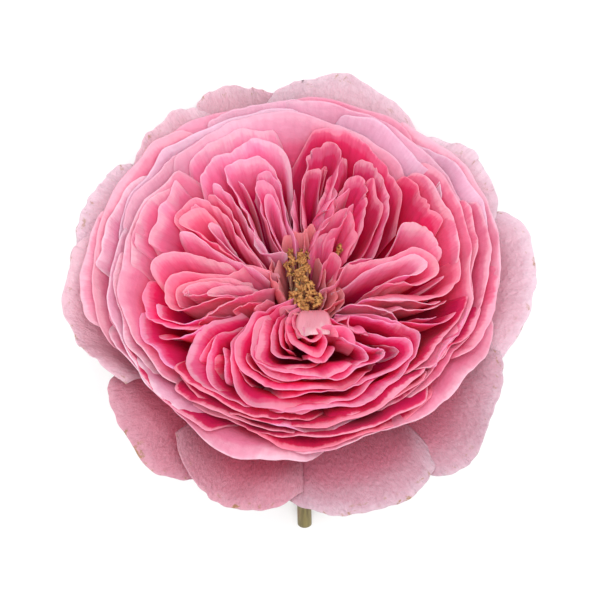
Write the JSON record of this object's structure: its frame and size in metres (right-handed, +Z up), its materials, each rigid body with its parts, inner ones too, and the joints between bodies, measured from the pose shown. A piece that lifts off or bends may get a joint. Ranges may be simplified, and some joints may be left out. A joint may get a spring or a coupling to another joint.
{
  "type": "rose flower",
  "caption": "Cut garden rose: a fully double, quartered pink bloom with broad outer petals, green sepals and a short stem, lying as it rests after cutting.",
  "frame": {"origin": "centre of the bounding box's bottom face, on the surface that the flower lies on", "axes": "+Z up from the surface; the flower's open face looks up and towards +Y, and the cut stem points to -Y and down to the surface; +X is to the right when the stem points at the viewer's feet and the viewer looks down"},
  "size_m": [0.1094, 0.1248, 0.0828],
  "materials": {
    "petal_guard": "soft satin, pale pink",
    "petal_ring": "soft satin, mid pink",
    "petal_heart": "soft satin, deep pink",
    "sepal_green": "matte",
    "hip_green": "waxy matte",
    "stem_green": "waxy matte",
    "stamen_gold": "powdery matte",
    "style_green": "matte"
  },
  "bodies": {
    "root": {"fold_bottom_heart": "petal_heart", "fold_bottom_second": "petal_heart", "fold_bottom_third": "petal_heart", "fold_bottom_wide": "petal_heart", "fold_left_inner": "petal_heart", "fold_left_loop": "petal_heart", "fold_left_outer": "petal_heart", "fold_lower_left": "petal_heart", "fold_lower_right_edge": "petal_heart", "fold_lower_right_inner": "petal_heart", "fold_lower_right_loop": "petal_heart", "fold_lower_right_mid": "petal_heart", "fold_right_edge": "petal_heart", "fold_right_loop": "petal_heart", "fold_right_low": "petal_heart", "fold_right_outer": "petal_heart", "fold_top_inner": "petal_heart", "fold_top_loop": "petal_heart", "fold_top_outer": "petal_heart", "fold_upper_left": "petal_heart", "fold_upper_left_inner": "petal_heart", "fold_upper_left_outer": "petal_heart", "fold_upper_right_loop": "petal_heart", "fold_upper_right_mid": "petal_heart", "fold_upper_right_outer": "petal_heart", "fold_upper_right_wide": "petal_heart", "guard_bottom_left": "petal_guard", "guard_bottom_right": "petal_guard", "guard_left": "petal_guard", "guard_left_upper": "petal_guard", "guard_lower_left": "petal_guard", "guard_lower_right": "petal_guard", "guard_right": "petal_guard", "guard_top": "petal_guard", "guard_top_left": "petal_guard", "guard_upper_left": "petal_guard", "guard_upper_right": "petal_guard", "hip": "hip_green", "ring_inner_1": "petal_ring", "ring_inner_2": "petal_ring", "ring_inner_3": "petal_ring", "ring_inner_4": "petal_ring", "ring_middle_1": "petal_ring", "ring_middle_2": "petal_ring", "ring_middle_3": "petal_ring", "ring_middle_4": "petal_ring", "ring_middle_5": "petal_ring", "ring_outer_1": "petal_ring", "ring_outer_2": "petal_ring", "ring_outer_3": "petal_ring", "ring_outer_4": "petal_ring", "ring_outer_5": "petal_ring", "sepal_1": "sepal_green", "sepal_2": "sepal_green", "sepal_3": "sepal_green", "sepal_4": "sepal_green", "sepal_5": "sepal_green", "stamens": "stamen_gold", "stem": "stem_green", "styles": "style_green"}
  },
  "joints": []
}
